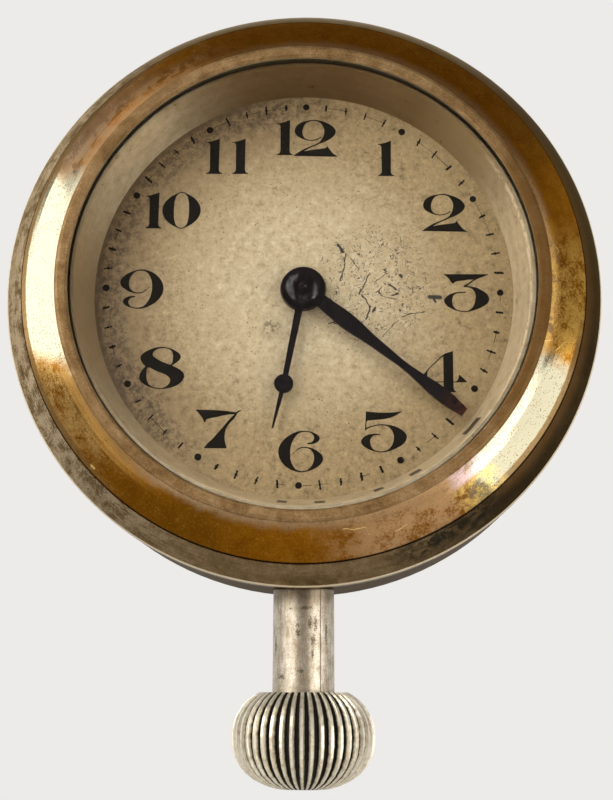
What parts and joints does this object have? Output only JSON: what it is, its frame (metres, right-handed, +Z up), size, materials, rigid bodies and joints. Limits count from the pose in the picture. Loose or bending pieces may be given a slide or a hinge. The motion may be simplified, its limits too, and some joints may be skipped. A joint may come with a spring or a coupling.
{
  "type": "car dashboard clock",
  "caption": "Round screw-cased dashboard clock with a sloping gilt bezel, arabic dial, pendant tube and fluted winding crown below, and a stem-wound lever movement inside.",
  "frame": {"origin": "centre of the rear face, on the clock axis, where the three mounting studs are spaced round it", "axes": "+Y backward along the clock axis into the dashboard, -Y out of the dial, +Z up through 12 o'clock, the pendant and crown toward -Z"},
  "size_m": [0.082, 0.0394, 0.108],
  "materials": {
    "nickel": "worn nickel plate over brass",
    "gilt": "worn gilt brass with nickel edge",
    "rear": "tarnished brass",
    "glass": "clear flat glass",
    "reflector": "polished silvered brass",
    "dial": "silvered cream, tarnished",
    "black": "black, glossy on the hub",
    "gilt_plate": "gilt, finely frosted",
    "wheel_brass": "polished brass",
    "steel": "polished steel",
    "blued_steel": "blued steel",
    "ruby": "polished synthetic ruby"
  },
  "bodies": {
    "case": {"case_body": "nickel", "rear_cover": "rear", "mounting_studs": "steel", "bezel": "gilt", "crystal": "glass", "crystal_ring": "steel", "reflector_ring": "reflector", "dial": "dial", "pendant_tube": "nickel", "pendant_sleeve": "wheel_brass", "click_spring": "blued_steel", "pillar_plate": "gilt_plate", "barrel_bridge": "gilt_plate", "train_bridge": "gilt_plate", "balance_cock": "gilt_plate", "pallet_cock": "gilt_plate", "pillars": "wheel_brass", "bridge_screws": "blued_steel", "case_screws": "blued_steel", "plate_jewels": "ruby", "bridge_jewels": "ruby", "hairspring": "blued_steel"},
    "winding_pinion": {"winding_pinion": "steel"},
    "crown": {"crown": "nickel", "winding_stem": "steel"},
    "crown_wheel": {"crown_wheel": "steel", "contrate_wheel": "wheel_brass"},
    "ratchet": {"ratchet_wheel": "steel", "barrel_arbor": "steel"},
    "click": {"click": "steel"},
    "barrel": {"barrel": "wheel_brass", "barrel_cover": "wheel_brass", "mainspring": "blued_steel"},
    "intermediate": {"intermediate_wheel": "wheel_brass", "intermediate_pinion": "steel"},
    "centre": {"centre_wheel": "wheel_brass", "centre_arbor": "steel"},
    "third": {"third_wheel": "wheel_brass", "third_pinion": "steel"},
    "fourth": {"fourth_wheel": "wheel_brass", "fourth_pinion": "steel"},
    "escape": {"escape_wheel": "steel", "escape_pinion": "steel"},
    "pallets": {"pallet_fork": "steel", "pallet_stones": "ruby", "pallet_arbor": "steel"},
    "balance": {"balance_wheel": "wheel_brass", "balance_staff": "steel", "roller": "steel"},
    "regulator": {"regulator": "blued_steel"},
    "minute_hand": {"cannon_pinion": "steel", "minute_hand": "black", "hand_cap": "black"},
    "minute_wheel": {"minute_wheel": "wheel_brass"},
    "hour_hand": {"hour_wheel": "wheel_brass", "hour_hand": "black"},
    "setting_wheel": {"setting_wheel": "wheel_brass"}
  },
  "joints": [
    {"name": "crown_turn", "type": "hinge", "parent": "case", "child": "winding_pinion", "pos_m": [0, -0.0108, -0.022], "axis": [0, 0, 1], "continuous": true},
    {"name": "crown_pull", "type": "slide", "parent": "winding_pinion", "child": "crown", "axis": [0, 0, -1], "range_m": [0, 0.0013]},
    {"name": "crown_wheel_turn", "type": "hinge", "parent": "case", "child": "crown_wheel", "pos_m": [0, -0.0116, -0.0165], "axis": [0, 1, 0], "continuous": true},
    {"name": "ratchet_turn", "type": "hinge", "parent": "case", "child": "ratchet", "pos_m": [-0.01253, -0.0116, -0.00861], "axis": [0, 1, 0], "continuous": true},
    {"name": "click_lift", "type": "hinge", "parent": "case", "child": "click", "pos_m": [-0.00687, -0.005, 0.00203], "axis": [0, 1, 0], "range_deg": [0, 8], "stiffness_Nm_per_rad": 0.002},
    {"name": "escape_turn", "type": "hinge", "parent": "case", "child": "escape", "pos_m": [0.01145, -0.0116, 0.01021], "axis": [0, 1, 0], "continuous": true},
    {"name": "fourth_turn", "type": "hinge", "parent": "case", "child": "fourth", "pos_m": [0.01282, -0.0116, 0.00241], "axis": [0, 1, 0], "continuous": true},
    {"name": "third_turn", "type": "hinge", "parent": "case", "child": "third", "pos_m": [0.00857, -0.0116, -0.00495], "axis": [0, 1, 0], "continuous": true},
    {"name": "centre_turn", "type": "hinge", "parent": "case", "child": "centre", "pos_m": [0, -0.0116, 0], "axis": [0, 1, 0], "continuous": true},
    {"name": "intermediate_turn", "type": "hinge", "parent": "case", "child": "intermediate", "pos_m": [-0.00801, -0.0116, 0.00582], "axis": [0, 1, 0], "continuous": true},
    {"name": "barrel_turn", "type": "hinge", "parent": "case", "child": "barrel", "pos_m": [-0.01253, -0.0116, -0.00861], "axis": [0, 1, 0], "continuous": true},
    {"name": "pallet_rock", "type": "hinge", "parent": "case", "child": "pallets", "pos_m": [0.00775, -0.0116, 0.01462], "axis": [0, 1, 0], "range_deg": [-5, 5]},
    {"name": "balance_swing", "type": "hinge", "parent": "case", "child": "balance", "pos_m": [0.00118, -0.0116, 0.01638], "axis": [0, 1, 0], "range_deg": [-220, 220], "stiffness_Nm_per_rad": 0.000012},
    {"name": "regulator_set", "type": "hinge", "parent": "case", "child": "regulator", "pos_m": [0.00118, -0.0055, 0.01638], "axis": [0, 1, 0], "range_deg": [-20, 20]},
    {"name": "minute_turn", "type": "hinge", "parent": "case", "child": "minute_hand", "pos_m": [0, -0.0166, 0], "axis": [0, 1, 0], "continuous": true},
    {"name": "minute_wheel_turn", "type": "hinge", "parent": "case", "child": "minute_wheel", "pos_m": [0.00338, -0.0166, -0.00636], "axis": [0, 1, 0], "continuous": true},
    {"name": "hour_turn", "type": "hinge", "parent": "case", "child": "hour_hand", "pos_m": [0, -0.0166, 0], "axis": [0, 1, 0], "continuous": true},
    {"name": "setting_turn", "type": "hinge", "parent": "case", "child": "setting_wheel", "pos_m": [0.00366, -0.0166, -0.01445], "axis": [0, 1, 0], "continuous": true}
  ],
  "couplings": [
    {"joint": "crown_wheel_turn", "follows": "crown_turn", "ratio": 0.375},
    {"joint": "ratchet_turn", "follows": "crown_turn", "ratio": -0.20833},
    {"joint": "third_turn", "follows": "centre_turn", "ratio": -8},
    {"joint": "fourth_turn", "follows": "centre_turn", "ratio": 60},
    {"joint": "escape_turn", "follows": "centre_turn", "ratio": -600},
    {"joint": "intermediate_turn", "follows": "centre_turn", "ratio": -0.2},
    {"joint": "barrel_turn", "follows": "centre_turn", "ratio": 0.025},
    {"joint": "minute_wheel_turn", "follows": "minute_turn", "ratio": -0.33333},
    {"joint": "hour_turn", "follows": "minute_turn", "ratio": 0.083333},
    {"joint": "setting_turn", "follows": "minute_turn", "ratio": 0.66667}
  ]
}
